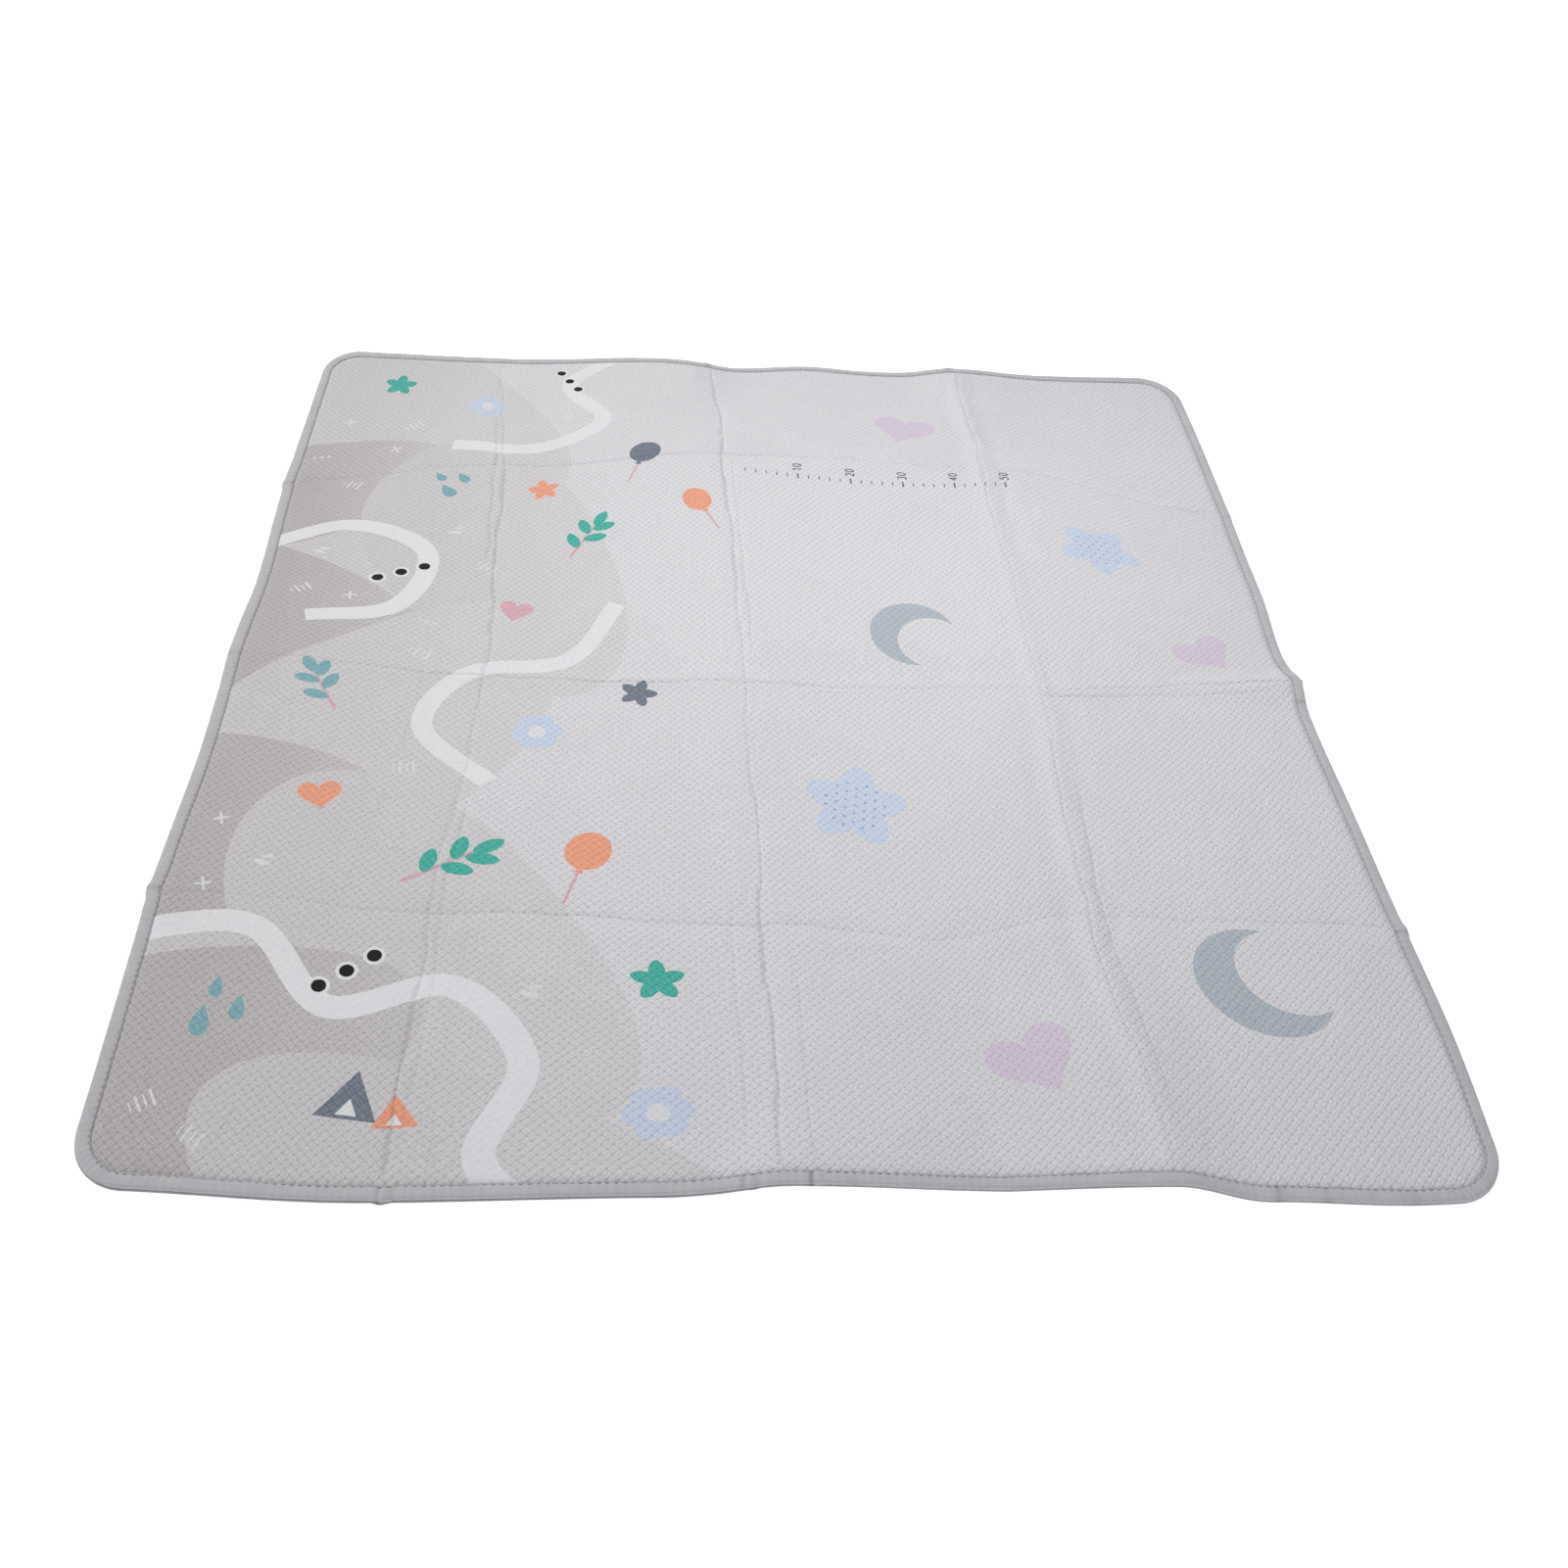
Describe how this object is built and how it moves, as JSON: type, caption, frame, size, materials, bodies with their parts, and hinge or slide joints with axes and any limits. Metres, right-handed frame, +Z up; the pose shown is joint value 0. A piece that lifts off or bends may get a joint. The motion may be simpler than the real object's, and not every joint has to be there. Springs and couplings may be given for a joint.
{
  "type": "padded baby play mat",
  "caption": "Large rectangular padded baby play mat with rounded corners, embossed woven-look cover, soft nursery print, fold creases and a grey bound edge, lying on the floor.",
  "frame": {"origin": "on the floor, below the middle of the mat's outer box", "axes": "+Z up from the floor to the printed face, +Y along the mat's longer side from its near edge to its far edge, +X across the mat to its right"},
  "size_m": [1.81, 2.029, 0.0222],
  "materials": {
    "cover_cloth": "matt, embossed like a diagonal basket weave",
    "binding_cloth": "matt woven tape"
  },
  "bodies": {
    "root": {"mat_panel": "cover_cloth", "edge_binding": "binding_cloth"}
  },
  "joints": []
}
